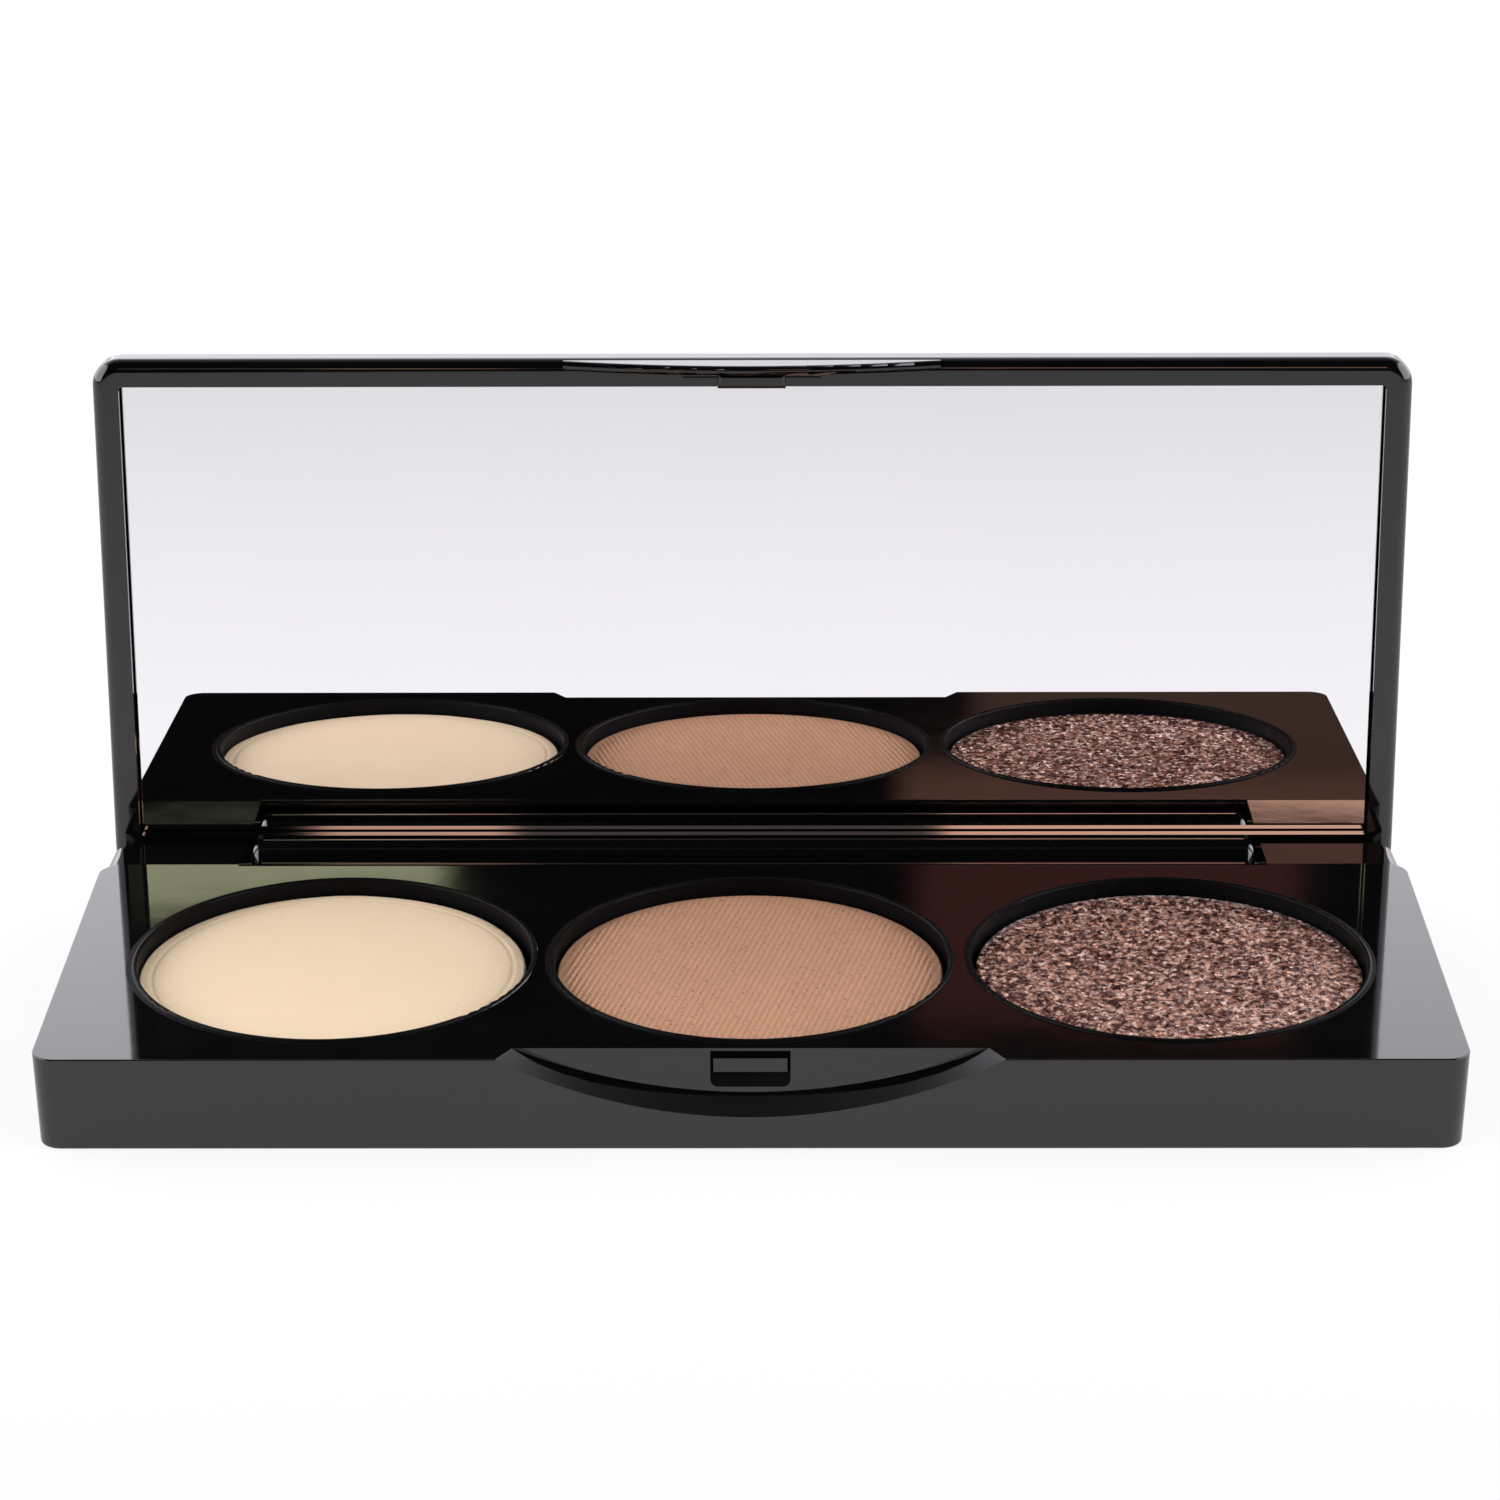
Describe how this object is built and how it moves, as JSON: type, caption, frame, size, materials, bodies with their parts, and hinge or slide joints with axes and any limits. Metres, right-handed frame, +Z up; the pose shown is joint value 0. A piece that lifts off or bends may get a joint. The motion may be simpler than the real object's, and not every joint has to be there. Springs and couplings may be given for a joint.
{
  "type": "eyeshadow palette",
  "caption": "Slim rectangular compact with a hinged mirror lid, a front snap catch and a row of round pans of pressed powder.",
  "frame": {"origin": "middle of the flat underside of the base", "axes": "+X along the long side to the user's right, +Y from the front edge towards the hinge, +Z up out of the pans"},
  "size_m": [0.0912, 0.0431, 0.0406],
  "materials": {
    "black_gloss": "high gloss moulded styrene",
    "black_matte": "fine spark-eroded texture",
    "label_paper": "blank label paper",
    "mirror": "silvered float glass",
    "foam_tape": "white foam tape",
    "pin_steel": "drawn steel wire",
    "tin_pan": "tin plate",
    "glue": "hot-melt glue",
    "powder_ivory": "pressed powder, matte",
    "powder_tan": "pressed powder, satin",
    "powder_rose": "pressed powder with metallic flakes"
  },
  "bodies": {
    "base": {"base_deck": "black_gloss", "bottom_cover": "black_matte", "bottom_label": "label_paper", "hinge_pin_left": "pin_steel", "hinge_pin_right": "pin_steel", "pan_left": "tin_pan", "pan_middle": "tin_pan", "pan_right": "tin_pan", "powder_left": "powder_ivory", "powder_middle": "powder_tan", "powder_right": "powder_rose", "pan_glue_left": "glue", "pan_glue_middle": "glue", "pan_glue_right": "glue"},
    "lid": {"lid_shell": "black_gloss", "mirror_glass": "mirror", "mirror_tape_left": "foam_tape", "mirror_tape_right": "foam_tape"}
  },
  "joints": [
    {"name": "lid_hinge", "type": "hinge", "parent": "base", "child": "lid", "pos_m": [0, 0.01745, 0.00464], "axis": [-1, 0, 0], "range_deg": [-93, 9]}
  ]
}
